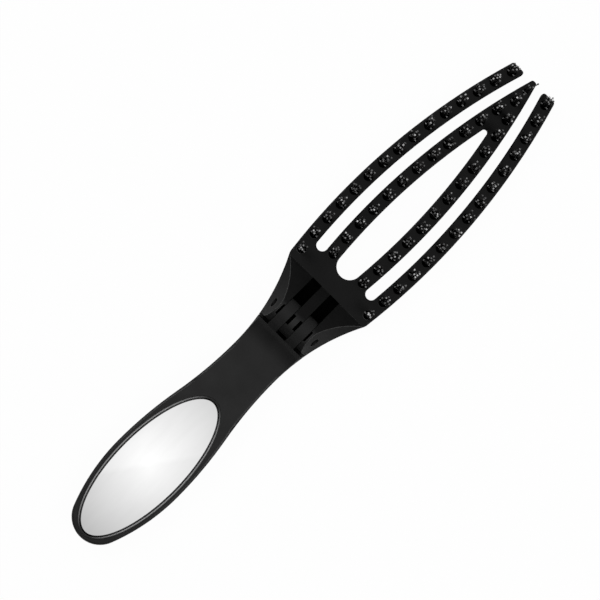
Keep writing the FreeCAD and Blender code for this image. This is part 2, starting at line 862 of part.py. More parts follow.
def tuft_rows():
    """Where the tufts stand in the plan of the head; the inner rows end where they come close together."""
    edges = prong_edges()
    outer_path = circle(edges["outer_edge"].Center, edges["outer_edge"].Radius - size("prong_width") / 2)
    inner_path = circle(edges["inner_side"].Center, edges["inner_side"].Radius - size("prong_width") / 2)
    center = inner_path.Center
    outer_end = prong_reach() - size("outer_row_from_tip")
    inner_end = center.x + math.sqrt(inner_path.Radius ** 2 - (size("inner_row_end_spread") - center.y) ** 2)
    outer = row_points(outer_path, size("outer_row_start"), outer_end, OUTER_ROW_COUNT)
    inner = row_points(inner_path, size("inner_row_start"), inner_end, INNER_ROW_COUNT)
    return {
        "left_outer": outer,
        "left_inner": inner,
        "right_inner": [flipped(point) for point in inner],
        "right_outer": [flipped(point) for point in outer],
        "tip": [Vector(size("head_reach") - size("tip_tuft_from_tip"), 0, 0), point_tuft()],
    }


def boar_master():
    """Bundle of natural bristles, widening upward from just above its anchor."""
    cone = document.addObject("Part::Cone", "boar_bundle")
    bind(cone, "Radius1", "boar_base_radius")
    bind(cone, "Radius2", "boar_tip_radius")
    bind(cone, "Height", "boar_length + tuft_hole_depth - anchor_height - 2 * bristle_seat_gap")
    document.recompute()
    return cone


def ball_pin_master():
    """Nylon pin with a round tip, standing at the origin."""
    ball_height = "ball_pin_length + tuft_hole_depth - anchor_height - 2 * bristle_seat_gap - ball_radius"
    shank = document.addObject("Part::Cylinder", "ball_pin_shank")
    bind(shank, "Radius", "ball_pin_radius")
    bind(shank, "Height", ball_height)
    ball = document.addObject("Part::Sphere", "ball_pin_ball")
    bind(ball, "Radius", "ball_radius")
    bind(ball, "Placement.Base.z", ball_height)
    whole = document.addObject("Part::Fuse", "ball_pin")
    whole.Base = shank
    whole.Tool = ball
    document.recompute()
    return whole


def anchor_master(name, hole_radius):
    """Flat wire staple that lies across the floor of a tuft hole."""
    half_length = f"(sqrt({hole_radius} ^ 2 - anchor_thickness ^ 2 / 4) - anchor_end_gap)"
    wire = document.addObject("Part::Box", name)
    bind(wire, "Length", "anchor_thickness")
    bind(wire, "Width", f"2 * {half_length}")
    bind(wire, "Height", "anchor_height")
    bind(wire, "Placement.Base.x", "- anchor_thickness / 2")
    bind(wire, "Placement.Base.y", f"- {half_length}")
    document.recompute()
    return wire


def placed(shape, point, height, rotation=Rotation()):
    """Copy of a master shape, turned and then set on a point of the plan at a height."""
    copy = shape.copy()
    copy.Placement = Placement(Vector(point.x, point.y, height), rotation).multiply(shape.Placement)
    return copy


def ring_of_pins(pin, point, height):
    """Pins round one tuft, each leaning outward."""
    count = POINT_PIN_COUNT if is_point_tuft(point) else TUFT_PIN_COUNT
    ring = size("point_pin_ring") if is_point_tuft(point) else size("ball_pin_ring")
    pins = []
    for index in range(count):
        angle = 2 * math.pi * index / count
        outward = Vector(math.cos(angle), math.sin(angle), 0)
        lean = Rotation(Vector(-outward.y, outward.x, 0), size("ball_pin_lean"))
        pins.append(placed(pin, point + outward * ring, height, lean))
    return pins


def add_group(label, shapes):
    """One named group of separate solids."""
    group = document.addObject("Part::Feature", label)
    group.Label = label
    group.Shape = Part.makeCompound(shapes)
    group.Placement = Placement(Vector((size("handle_reach") - size("head_reach")) / 2, 0, 0), Rotation())
    sub_parts.append(group)


def build_bristles():
    """For each row, the boar bundles, the ring of ball pins round each, and the staples under them."""
    boar = boar_master().Shape
    pin = ball_pin_master().Shape
    anchor = anchor_master("tuft_anchor", "tuft_hole_radius").Shape
    point_anchor = anchor_master("point_tuft_anchor", "point_hole_radius").Shape
    anchor_floor = size("prong_thickness") - size("tuft_hole_depth") + size("bristle_seat_gap")
    bristle_floor = anchor_floor + size("anchor_height") + size("bristle_seat_gap")
    for row, points in tuft_rows().items():
        full_tufts = [point for point in points if not is_point_tuft(point)]
        rings = [ring_of_pins(pin, point, bristle_floor) for point in points]
        staples = [(point_anchor if is_point_tuft(point) else anchor, point) for point in points]
        add_group(f"boar_tufts_{row}", [placed(boar, point, bristle_floor) for point in full_tufts])
        add_group(f"ball_pins_{row}", [each for ring in rings for each in ring])
        add_group(f"tuft_anchors_{row}", [placed(shape, point, anchor_floor) for shape, point in staples])


# Check and write

def check_document():
    """Stops at the first object that failed or has no valid shape."""
    document.recompute()
    for item in document.Objects:
        if {"Invalid", "Error"} & set(item.State):
            raise RuntimeError(f"{item.Name} failed: {item.State}")
    for item in sub_parts:
        if item.Shape.isNull() or not item.Shape.isValid():
            raise RuntimeError(f"{item.Label} has no valid shape")


def write_parts():
    os.makedirs("parts", exist_ok=True)
    for item in sub_parts:
        item.Shape.exportStep(f"parts/{item.Label}.step")


fill_sheet()
build_handle_body()
build_handle_back_cover()
build_mirror()
build_hinge_pin()
build_friction_washers()
build_head_frame()
build_bristles()
check_document()
write_parts()
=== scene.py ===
import math
import random

import bpy
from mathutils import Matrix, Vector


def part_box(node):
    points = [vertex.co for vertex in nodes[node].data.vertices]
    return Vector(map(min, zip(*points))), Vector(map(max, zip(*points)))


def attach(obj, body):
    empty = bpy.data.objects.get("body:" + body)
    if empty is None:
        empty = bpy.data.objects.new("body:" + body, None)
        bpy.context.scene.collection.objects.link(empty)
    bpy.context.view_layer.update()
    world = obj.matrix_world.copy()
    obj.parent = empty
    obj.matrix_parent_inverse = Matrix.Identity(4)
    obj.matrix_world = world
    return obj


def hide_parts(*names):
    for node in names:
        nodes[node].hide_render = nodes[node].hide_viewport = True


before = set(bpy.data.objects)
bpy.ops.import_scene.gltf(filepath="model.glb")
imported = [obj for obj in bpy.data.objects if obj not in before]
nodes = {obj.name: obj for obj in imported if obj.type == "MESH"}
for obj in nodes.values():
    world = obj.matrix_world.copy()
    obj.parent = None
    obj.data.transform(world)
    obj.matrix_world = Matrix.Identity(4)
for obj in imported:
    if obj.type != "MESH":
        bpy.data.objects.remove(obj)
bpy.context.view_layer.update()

# Folding hair brush seen from straight above, lying open on a white floor with its tip
# to the upper right. The mouldings, mirror and hinge are the CAD nodes with their own
# finishes. The bundles and pins of the CAD rows are replaced by single hairs and pins.
# Lengths are in metres.

MM = 0.001
ROWS = ("left_outer", "left_inner", "right_inner", "right_outer", "tip")

# Tufts: the level of their roots, and how far their tips are carried along and to each side
ROOT_LEVEL = 2.75 * MM
TUFT_RAKE = (0.5 * MM, 1.3 * MM)
TUFT_SWAY = 0.35 * MM
# Staples further apart than this along the brush belong to different tufts
TUFT_GAP = 1.0 * MM
# A staple shorter than this on each side lies in the small hole at the point
POINT_STAPLE = 1.2 * MM

# Natural hairs
HAIR_COUNT = 46
HAIR_REACH = 14.5 * MM
HAIR_LENGTH_SHARES = (0.84, 1.0)
HAIR_LEAN_SHARES = (0.8, 1.1)
HAIR_RADIUS = 0.085 * MM
HAIR_ROOT_SPREAD = 0.6 * MM
HAIR_TIP_SPREAD = 1.75 * MM
HAIR_BOW = 0.4 * MM
HAIR_SIDES = 5
HAIR_RINGS = 6
HAIR_TAPER_SHARE = 0.45

# Nylon pins with a ball on the end
PIN_COUNT = 7
POINT_PIN_COUNT = 4
PIN_REACH = 15.72 * MM
PIN_LENGTH_SHARES = (0.93, 1.0)
PIN_RADIUS = 0.2 * MM
PIN_ROOT_SPREAD = 1.15 * MM
PIN_TIP_SPREAD = 1.6 * MM
POINT_SPREAD_SHARE = 0.5
PIN_WANDER = 0.5 * MM
PIN_BOW = 0.15 * MM
PIN_SIDES = 10
PIN_RINGS = 5
BALL_RADIUS = 0.36 * MM
BALL_RINGS = 7
BALL_CAP_SHARE = 0.96
GOLDEN_TURN = math.pi * (3 - math.sqrt(5))
# One pin in the small hole at the point is bent over the tip by this much, along and across
STRAY_LEAN = (3.7 * MM, -1.3 * MM)

# Brightness of single strands, least and most, and how rare the bright ones are; the rare bright
# strands are painted glints
HAIR_TONES = (0.4, 2.8)
HAIR_TONE_POWER = 3
PIN_TONES = (0.3, 2.9)
PIN_TONE_POWER = 4
# Colours of strands from root to tip, and their roughness
# The light tips of the hairs are partly their own colour and partly a painted glint, and the
# light grey balls of the nylon pins are a painted highlight.
HAIR_STOPS = (
    (0.0, (0.005, 0.005, 0.005)),
    (0.7, (0.01, 0.01, 0.01)),
    (1.0, (0.05, 0.048, 0.046)),
)
NYLON_STOPS = (
    (0.0, (0.005, 0.005, 0.005)),
    (0.9, (0.01, 0.01, 0.01)),
    (0.97, (0.2, 0.2, 0.2)),
)
HAIR_ROUGHNESS = 0.4
NYLON_ROUGHNESS = 0.3
FLECK_SIZE = 0.25 * MM
FLECK_DETAIL = 2.0

# Mouldings: tones of the clouding, tone of the painted highlight on edges,
# roughness out of the fingers' reach and within it, and gloss
HANDLE_PLASTIC = {
    "tones": (0.006, 0.009), "highlight_tone": 0.045, "roughness": (0.7, 0.4), "gloss": 0.27,
}
COVER_PLASTIC = {
    "tones": (0.008, 0.011), "highlight_tone": 0.03, "roughness": (0.5, 0.5), "gloss": 0.2,
}
HEAD_PLASTIC = {
    "tones": (0.0035, 0.0055), "highlight_tone": 0.11, "roughness": (0.5, 0.5), "gloss": 0.095,
}
GRAIN_SIZE = 0.35 * MM
GRAIN_DETAIL = 3.0
GRAIN_DEPTH = 0.03 * MM
GRAIN_STRENGTH = 0.35
CLOUD_SIZE = 9.0 * MM
CLOUD_DETAIL = 4.0
CLOUD_ROUGHNESS = 0.05
# Edges: radius of the rounding, and how its normal faces the true one from no edge to full edge
EDGE_ROUND = 0.32 * MM
EDGE_SAMPLES = 6
EDGE_FACING = (0.995, 0.88)
# Painted shade in pits: how far a piece is searched for what hides the sky, and the openness
# from painted black shade to plain plastic and from sheltered edges to proud ones
PIT_REACH = 7.0 * MM
PIT_SAMPLES = 8
PIT_SHADE_SPAN = (0.35, 0.8)
PROUD_SPAN = (0.88, 0.96)
# Distance from the edge of the mirror to the crest of the bead round it, half the width of
# the painted highlight line from full to none, and where along the oval it fades
CREST_OFFSET = 0.45 * MM
CREST_WIDTH = (0.1 * MM, 0.36 * MM)
CREST_FADE = (0.2, 0.8)
CREST_HIGHLIGHT_TONE = 0.25
# Where painted highlights on edges, and the handle's smoother handled finish, end on each
# moulding along the brush, where they start to each side of the hinge, and where painted shade
# darkens the handle toward the hinge and to what share
HANDLE_WEAR_AND_HIGHLIGHT_SPAN = (-16.0 * MM, -14.0 * MM)
HEAD_HIGHLIGHT_SPAN = (12.0 * MM, 24.0 * MM)
HEAD_HIGHLIGHT_SIDE = (7.0 * MM, 8.0 * MM)
SHADE_SPAN = (-40.0 * MM, -21.0 * MM)
SHADE_SHARE = 0.5
# Painted highlight on the top of the hinge barrel, and painted black shade in the crevice behind
# it, along and to each side
CROWN_SPAN = (-2.0 * MM, 4.0 * MM)
CROWN_FACING = (0.8, 1.0)
CROWN_HIGHLIGHT_TONE = 0.019
CREVICE_BACK = (-12.8 * MM, -12.6 * MM)
CREVICE_SIDE = (9.2 * MM, 10.0 * MM)

# Mirror, metals and tape
WIPE_SIZE = 14.0 * MM
WIPE_STRETCH = (1.0, 6.0, 1.0)
MIRROR_TONES = (0.91, 0.94)
MIRROR_ROUGHNESS = (0.0, 0.003)
PIN_STEEL = {"level": 0.02, "roughness": 0.5}
WASHER_STEEL = {"level": 0.004, "roughness": 0.6}
STAPLE_WIRE = {"level": 0.4, "roughness": 0.35}
MARK_SIZE = 0.2 * MM
CELL_SIZE = 0.4 * MM
CELL_DEPTH = 0.05 * MM
CELL_STRENGTH = 0.5
FOAM_STOPS = ((0.0, 0.45), (0.6, 0.7))
FOAM_ROUGHNESS = 0.9

# Usual span of a noise, and the shares of roughness and tone that it moves between
NOISE_SPAN = (0.3, 0.7)
ROUGHNESS_SHARES = (0.8, 1.2)
TONE_SHARE = 0.8
# Results of a mask that grows and of one that falls along its span
RISE = (0.0, 1.0)
FALL = (1.0, 0.0)

# Camera: its turn, the point below it, and the width that it sees at a level of the brush
VIEW_TURN = math.radians(-44.97)
VIEW_POINT = (0.3 * MM, 4.25 * MM)
VIEW_WIDTH = 215.9 * MM
VIEW_LEVEL = 6.0 * MM
# Lens and sensor in millimetres
LENS = 135.0
SENSOR = 36.0

# Floor: how much of it is plain white to the camera and in reflections,
# and the tones of the rest, as light for other pieces and as seen
FLOOR_SIZE = 8.0
FLOOR_LEVEL = -0.3 * MM
FLOOR_SEEN_SHARE = 0.97
FLOOR_GLOSSY_SHARE = 0.15
FLOOR_TONES = (0.5, 0.8)
# Ceiling card: its light from the middle of the sky outward
CARD_SIZE = 6.0
CARD_LEVEL = 1.0
SKY_CENTER = (0.3, 0.0, 0.0)
SKY_REACH = 3.0
SKY_STOPS = (
    (0.0, 0.95),
    (0.1, 0.75),
    (0.136, 0.53),
    (0.183, 0.4),
    (0.3, 0.25),
    (0.5, 0.15),
    (1.0, 0.1),
)
# Glow over the middle of the mirror, and where outside it sharp reflections turn white
GLOW_CENTER = (-0.179, -0.003, 0.0)
GLOW_REACH = 0.1
GLOW_LEVEL = 0.67
WHITE_SPAN = (0.15, 0.5)
# Faint straight step in the light over the mirror: the direction across its edge,
# half the width of the step, and the levels on its two sides
STEP_ACROSS = (0.582, 0.813, 0.0)
STEP_WIDTH = 0.002
STEP_LEVELS = (0.95, 1.0)
# World as light and as seen, and the lamps
WORLD_LEVELS = (0.45, 1.0)
LAMP_PLACES = ((0.1, 0.62, 0.75), (0.1, -0.62, 0.75))
LAMP_SIZE = 0.5
LAMP_POWER = 4.0


def add(tree, kind, inputs=None, **settings):
    """New node with its settings, and each named input linked to a socket or set to a value."""
    node = tree.nodes.new(kind)
    for key, value in settings.items():
        setattr(node, key, value)
    for key, value in (inputs or {}).items():
        if isinstance(value, bpy.types.NodeSocket):
            tree.links.new(value, node.inputs[key])
        else:
            node.inputs[key].default_value = value
    return node


def new_material(name):
    """Empty node material with its shader node."""
    material = bpy.data.materials.new(name)
    material.use_nodes = True
    tree = material.node_tree
    return material, tree, tree.nodes["Principled BSDF"]


def grey(level):
    """Neutral colour."""
    return (level, level, level, 1.0)


def ramp(tree, factor, stops):
    """Colour ramp through (position, colour) stops."""
    node = add(tree, "ShaderNodeValToRGB", {"Fac": factor})
    elements = node.color_ramp.elements
    while len(elements) < len(stops):
        elements.new(1.0)
    for element, (position, colour) in zip(elements, stops):
        element.position = position
        element.color = colour
    return node.outputs["Color"]


def grey_ramp(tree, factor, stops):
    """Ramp through (position, level) stops."""
    return ramp(tree, factor, [(position, grey(level)) for position, level in stops])


def remap(tree, value, old, new):
    """Maps one range of values onto another and stops at its ends."""
    inputs = {
        "Value": value,
        "From Min": old[0],
        "From Max": old[1],
        "To Min": new[0],
        "To Max": new[1],
    }
    return add(tree, "ShaderNodeMapRange", inputs).outputs["Result"]


def spread(tree, factor, low, high):
    """Maps the usual span of a noise onto a range."""
    return remap(tree, factor, NOISE_SPAN, (low, high))


def noise_tone(tree, factor, tones):
    """Maps the usual span of a noise onto two grey tones."""
    return grey_ramp(tree, factor, zip(NOISE_SPAN, tones))


def mix(tree, factor, first, second, blend="MIX"):
    """Mix of two colours."""
    inputs = {"Fac": factor, "Color1": first, "Color2": second}
    return add(tree, "ShaderNodeMixRGB", inputs, blend_type=blend).outputs["Color"]


def brighten(tree, colour, share):
    """Colour whose brightness is multiplied by a share."""
    inputs = {"Color": colour, "Value": share}
    return add(tree, "ShaderNodeHueSaturation", inputs).outputs["Color"]


def math_node(tree, operation, first, second=0.0, clamp=False):
    """Result of an operation on one or two values."""
    settings = {"operation": operation, "use_clamp": clamp}
    return add(tree, "ShaderNodeMath", {0: first, 1: second}, **settings).outputs["Value"]


def vector_node(tree, operation, first, second=None):
    """Outputs of an operation on one or two vectors."""
    inputs = {0: first}
    if second is not None:
        inputs[1] = second
    return add(tree, "ShaderNodeVectorMath", inputs, operation=operation).outputs


def noise(tree, place, size, detail):
    """Noise whose features are about one size across."""
    inputs = {"Vector": place, "Scale": 1.0 / size, "Detail": detail}
    return add(tree, "ShaderNodeTexNoise", inputs).outputs["Fac"]


def bumped(tree, height, strength, depth, normal=None):
    """Normal of a surface with small heights on it."""
    inputs = {"Strength": strength, "Distance": depth, "Height": height}
    if normal is not None:
        inputs["Normal"] = normal
    return add(tree, "ShaderNodeBump", inputs).outputs["Normal"]


def object_place(tree):
    """Place on the piece, in the frame that it shares with the CAD."""
    return add(tree, "ShaderNodeTexCoord").outputs["Object"]


def component(tree, vector, axis):
    """One component of a vector."""
    return add(tree, "ShaderNodeSeparateXYZ", {"Vector": vector}).outputs[axis]


def size_of(tree, value):
    """Value without its sign."""
    return math_node(tree, "ABSOLUTE", value)


def edge_mask(tree, rounded):
    """Where a rounded normal leaves the true one, along edges."""
    true_normal = add(tree, "ShaderNodeNewGeometry").outputs["Normal"]
    facing = vector_node(tree, "DOT_PRODUCT", rounded, true_normal)["Value"]
    return remap(tree, facing, EDGE_FACING, RISE)


def crest_highlight_mask(tree, place):
    """Thin oval painted highlight along the crest of the bead round the mirror, fading at its
    two ends.
    """
    low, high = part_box("mirror_plate")
    center = tuple((a + b) / 2 for a, b in zip(low, high))
    reach = (high[0] - center[0] + CREST_OFFSET, high[1] - center[1] + CREST_OFFSET)
    unit_scale = (1 / reach[0], 1 / reach[1], 0.0)
    slope_scale = (2 / reach[0] ** 2, 2 / reach[1] ** 2, 0.0)
    offset = vector_node(tree, "SUBTRACT", place, center)["Vector"]
    unit = vector_node(tree, "MULTIPLY", offset, unit_scale)["Vector"]
    slope = vector_node(tree, "MULTIPLY", offset, slope_scale)["Vector"]
    square = vector_node(tree, "DOT_PRODUCT", unit, unit)["Value"]
    excess = math_node(tree, "SUBTRACT", square, 1.0)
    steepness = vector_node(tree, "LENGTH", slope)["Value"]
    distance = size_of(tree, math_node(tree, "DIVIDE", excess, steepness))
    fade = remap(tree, size_of(tree, component(tree, unit, "Y")), CREST_FADE, RISE)
    return math_node(tree, "MULTIPLY", fade, remap(tree, distance, CREST_WIDTH, FALL))


def own_openness(tree):
    """How little of the sky a piece hides from itself."""
    settings = {"samples": PIT_SAMPLES, "only_local": True}
    node = add(tree, "ShaderNodeAmbientOcclusion", {"Distance": PIT_REACH}, **settings)
    return node.outputs["AO"]


def handle_wear_and_highlight_zone(tree, place):
    """One where fingers reach and smooth the handle and its edges get a painted highlight, zero
    on its hinge lugs.
    """
    return remap(tree, component(tree, place, "X"), HANDLE_WEAR_AND_HIGHLIGHT_SPAN, FALL)


def head_highlight_zone(tree, place):
    """One on both sides of the hinge, where edges get a painted highlight, zero between them and
    on the prongs.
    """
    near = remap(tree, component(tree, place, "X"), HEAD_HIGHLIGHT_SPAN, FALL)
    aside = remap(tree, size_of(tree, component(tree, place, "Y")), HEAD_HIGHLIGHT_SIDE, RISE)
    return math_node(tree, "MULTIPLY", near, aside)


def edge_highlight_mask(tree, rounded, openness, wear_and_highlight_zone):
    """Painted highlight on proud edges within the zone."""
    proud = remap(tree, openness, PROUD_SPAN, RISE)
    handled = math_node(tree, "MULTIPLY", wear_and_highlight_zone, proud)
    return math_node(tree, "MULTIPLY", edge_mask(tree, rounded), handled)


def crown_highlight_mask(tree, place):
    """Top of the hinge barrel where it faces up, where a highlight is painted."""
    normal = add(tree, "ShaderNodeTexCoord").outputs["Normal"]
    facing = remap(tree, component(tree, normal, "Z"), CROWN_FACING, RISE)
    near = remap(tree, component(tree, place, "X"), CROWN_SPAN, FALL)
    return math_node(tree, "MULTIPLY", facing, near)


def crevice_shade_mask(tree, place):
    """Floor of the narrow gap between the end of the handle and the hinge barrel, where black
    shade is painted.
    """
    behind = remap(tree, component(tree, place, "X"), CREVICE_BACK, FALL)
    inside = remap(tree, size_of(tree, component(tree, place, "Y")), CREVICE_SIDE, FALL)
    return math_node(tree, "MULTIPLY", behind, inside)


def handle_painted_light(tree, place, colour):
    """Painted shade that darkens the tone toward the hinge, and a painted highlight line round
    the mirror.
    """
    # Painted shade: the tone darkens toward the hinge; the crest line is a painted highlight.
    share = remap(tree, component(tree, place, "X"), SHADE_SPAN, (1.0, SHADE_SHARE))
    shaded = brighten(tree, colour, share)
    return mix(tree, crest_highlight_mask(tree, place), shaded, grey(CREST_HIGHLIGHT_TONE))


def head_painted_light(tree, place, colour):
    """Painted highlight on the crown of the hinge barrel, and painted black shade in the crevice
    behind it.
    """
    # Painted highlight: the crown is lightened.
    crown_highlighted = mix(tree, crown_highlight_mask(tree, place), colour, grey(CROWN_HIGHLIGHT_TONE), "LIGHTEN")
    # Painted shade: the crevice floor goes black.
    return mix(tree, crevice_shade_mask(tree, place), crown_highlighted, grey(0.0))


def moulded_plastic(name, tones, highlight_tone, roughness, gloss, find_wear_and_highlight_zone, marks=None):
    """Satin black plastic with grain, a cloudy tone, painted highlights on proud edges, its own
    painted light and shade, and painted black shade in pits.

    The two values of roughness are out of the fingers' reach and within it.
    """
    material, tree, shader = new_material(name)
    place = object_place(tree)
    grain = noise(tree, place, GRAIN_SIZE, GRAIN_DETAIL)
    cloud = noise(tree, place, CLOUD_SIZE, CLOUD_DETAIL)
    bevel = add(tree, "ShaderNodeBevel", {"Radius": EDGE_ROUND}, samples=EDGE_SAMPLES)
    rounded = bevel.outputs["Normal"]
    openness = own_openness(tree)
    wear_and_highlight_zone = find_wear_and_highlight_zone(tree, place)
    edge_highlight = edge_highlight_mask(tree, rounded, openness, wear_and_highlight_zone)
    # Painted highlight: proud edges are made lighter.
    colour = mix(tree, edge_highlight, noise_tone(tree, cloud, tones), grey(highlight_tone))
    if marks:
        colour = marks(tree, place, colour)
    clear_of_pit_shade = remap(tree, openness, PIT_SHADE_SPAN, RISE)
    clouding = spread(tree, cloud, -CLOUD_ROUGHNESS, CLOUD_ROUGHNESS)
    clouded = math_node(tree, "ADD", remap(tree, wear_and_highlight_zone, RISE, roughness), clouding)
    normal = bumped(tree, grain, GRAIN_STRENGTH, GRAIN_DEPTH, rounded)
    # Painted shade: the base colour goes black in pits that the piece hides from the sky, and
    # the roughness goes to one there.
    tree.links.new(mix(tree, clear_of_pit_shade, grey(0.0), colour), shader.inputs["Base Color"])
    tree.links.new(mix(tree, clear_of_pit_shade, grey(1.0), clouded), shader.inputs["Roughness"])
    tree.links.new(normal, shader.inputs["Normal"])
    shader.inputs["Specular IOR Level"].default_value = gloss
    return material


def silvered_glass(name):
    """Mirror with a faint film of wiping marks."""
    material, tree, shader = new_material(name)
    inputs = {"Vector": object_place(tree), "Scale": WIPE_STRETCH}
    stretched = add(tree, "ShaderNodeMapping", inputs).outputs["Vector"]
    wipes = noise(tree, stretched, WIPE_SIZE, CLOUD_DETAIL)
    tree.links.new(noise_tone(tree, wipes, MIRROR_TONES), shader.inputs["Base Color"])
    tree.links.new(spread(tree, wipes, *MIRROR_ROUGHNESS), shader.inputs["Roughness"])
    shader.inputs["Metallic"].default_value = 1.0
    return material


def uneven(tree, factor, roughness):
    """Roughness that a noise moves a little to both sides."""
    return spread(tree, factor, *(roughness * share for share in ROUGHNESS_SHARES))


def marked_steel(name, level, roughness):
    """Metal with fine marks from turning or drawing."""
    material, tree, shader = new_material(name)
    marks = noise(tree, object_place(tree), MARK_SIZE, CLOUD_DETAIL)
    tone = noise_tone(tree, marks, (level * TONE_SHARE, level))
    tree.links.new(tone, shader.inputs["Base Color"])
    tree.links.new(uneven(tree, marks, roughness), shader.inputs["Roughness"])
    shader.inputs["Metallic"].default_value = 1.0
    return material


def foam_tape(name):
    """Pale foam with open cells."""
    material, tree, shader = new_material(name)
    inputs = {"Vector": object_place(tree), "Scale": 1.0 / CELL_SIZE}
    cells = add(tree, "ShaderNodeTexVoronoi", inputs).outputs["Distance"]
    normal = bumped(tree, cells, CELL_STRENGTH, CELL_DEPTH)
    tree.links.new(grey_ramp(tree, cells, FOAM_STOPS), shader.inputs["Base Color"])
    tree.links.new(normal, shader.inputs["Normal"])
    shader.inputs["Roughness"].default_value = FOAM_ROUGHNESS
    return material


def strand(name, stops, roughness):
    """Hair or nylon whose colour runs from root to tip and differs from strand to strand."""
    material, tree, shader = new_material(name)
    along = add(tree, "ShaderNodeAttribute", attribute_name="along").outputs["Fac"]
    tone = add(tree, "ShaderNodeAttribute", attribute_name="tone").outputs["Fac"]
    colour = ramp(tree, along, [(position, (*shade, 1.0)) for position, shade in stops])
    flecks = noise(tree, object_place(tree), FLECK_SIZE, FLECK_DETAIL)
    tree.links.new(brighten(tree, colour, tone), shader.inputs["Base Color"])
    tree.links.new(uneven(tree, flecks, roughness), shader.inputs["Roughness"])
    return material


def reflected_rays(tree):
    """One for glossy and transmission rays."""
    path = add(tree, "ShaderNodeLightPath").outputs
    return math_node(tree, "ADD", path["Is Glossy Ray"], path["Is Transmission Ray"], clamp=True)


def white_light(tree, strength):
    """White light of its own."""
    inputs = {"Color": grey(1.0), "Strength": strength}
    return add(tree, "ShaderNodeEmission", inputs).outputs["Emission"]


def stage_material(name, make_surface):
    """Material whose surface a function makes in place of the usual shader."""
    material, tree, shader = new_material(name)
    tree.links.new(make_surface(tree), tree.nodes["Material Output"].inputs["Surface"])
    tree.nodes.remove(shader)
    return material


def white_floor(tree):
    """White floor that keeps a faint shadow."""
    camera_ray = add(tree, "ShaderNodeLightPath").outputs["Is Camera Ray"]
    seen = math_node(tree, "MULTIPLY", camera_ray, FLOOR_SEEN_SHARE)
    reflected = math_node(tree, "MULTIPLY", reflected_rays(tree), FLOOR_GLOSSY_SHARE)
    share = math_node(tree, "MAXIMUM", seen, reflected)
    tone = remap(tree, camera_ray, (0.0, 1.0), FLOOR_TONES)
    matte = add(tree, "ShaderNodeBsdfDiffuse", {"Color": tone}).outputs["BSDF"]
    inputs = {"Fac": share, 1: matte, 2: white_light(tree, 1.0)}
    return add(tree, "ShaderNodeMixShader", inputs).outputs["Shader"]


def ceiling_light(tree):
    """Soft light from above with a stepped glow over the mirror, white to sharp reflections."""
    place = object_place(tree)
    outward = vector_node(tree, "DISTANCE", place, SKY_CENTER)["Value"]
    sky = grey_ramp(tree, remap(tree, outward, (0.0, SKY_REACH), RISE), SKY_STOPS)
    offset = vector_node(tree, "SUBTRACT", place, GLOW_CENTER)["Vector"]
    from_glow = vector_node(tree, "LENGTH", offset)["Value"]
    glow = remap(tree, from_glow, (0.0, GLOW_REACH), (GLOW_LEVEL, 0.0))
    across = vector_node(tree, "DOT_PRODUCT", offset, STEP_ACROSS)["Value"]
    step = remap(tree, across, (-STEP_WIDTH, STEP_WIDTH), STEP_LEVELS)
    level = math_node(tree, "MULTIPLY", math_node(tree, "ADD", sky, glow), step)
    sharp = add(tree, "ShaderNodeLightPath").outputs["Is Singular Ray"]
    white = math_node(tree, "MULTIPLY", sharp, remap(tree, from_glow, WHITE_SPAN, RISE))
    return white_light(tree, math_node(tree, "MAXIMUM", level, white))


def finish_nodes():
    """Own finish for every CAD node that stays in view."""
    finishes = {
        "handle_body": moulded_plastic(
            "handle_plastic", find_wear_and_highlight_zone=handle_wear_and_highlight_zone, marks=handle_painted_light, **HANDLE_PLASTIC),
        "handle_back_cover": moulded_plastic(
            "cover_plastic", find_wear_and_highlight_zone=handle_wear_and_highlight_zone, **COVER_PLASTIC),
        "head_frame": moulded_plastic(
            "head_plastic", find_wear_and_highlight_zone=head_highlight_zone, marks=head_painted_light, **HEAD_PLASTIC),
        "mirror_plate": silvered_glass("mirror_silver"),
        "mirror_tape": foam_tape("tape_foam"),
        "hinge_pin": marked_steel("pin_steel", **PIN_STEEL),
    }
    washer = marked_steel("washer_steel", **WASHER_STEEL)
    staple = marked_steel("staple_wire", **STAPLE_WIRE)
    for name in nodes:
        if name.startswith("friction_washer"):
            finishes[name] = washer
        if name.startswith("tuft_anchors"):
            finishes[name] = staple
    for name, material in finishes.items():
        nodes[name].data.materials.clear()
        nodes[name].data.materials.append(material)


def tufts(row):
    """Middle of each tuft of a row and half the length of its staple, read from the staples."""
    staples = nodes[f"tuft_anchors_{row}"].data.vertices
    corners = sorted(tuple(vertex.co) for vertex in staples)
    groups = [[corners[0]]]
    for corner in corners[1:]:
        if corner[0] - groups[-1][-1][0] > TUFT_GAP:
            groups.append([])
        groups[-1].append(corner)
    found = []
    for group in groups:
        lows = [min(corner[axis] for corner in group) for axis in range(2)]
        highs = [max(corner[axis] for corner in group) for axis in range(2)]
        middle = [(low + high) / 2 for low, high in zip(lows, highs)]
        found.append((middle, (highs[1] - lows[1]) / 2))
    return found


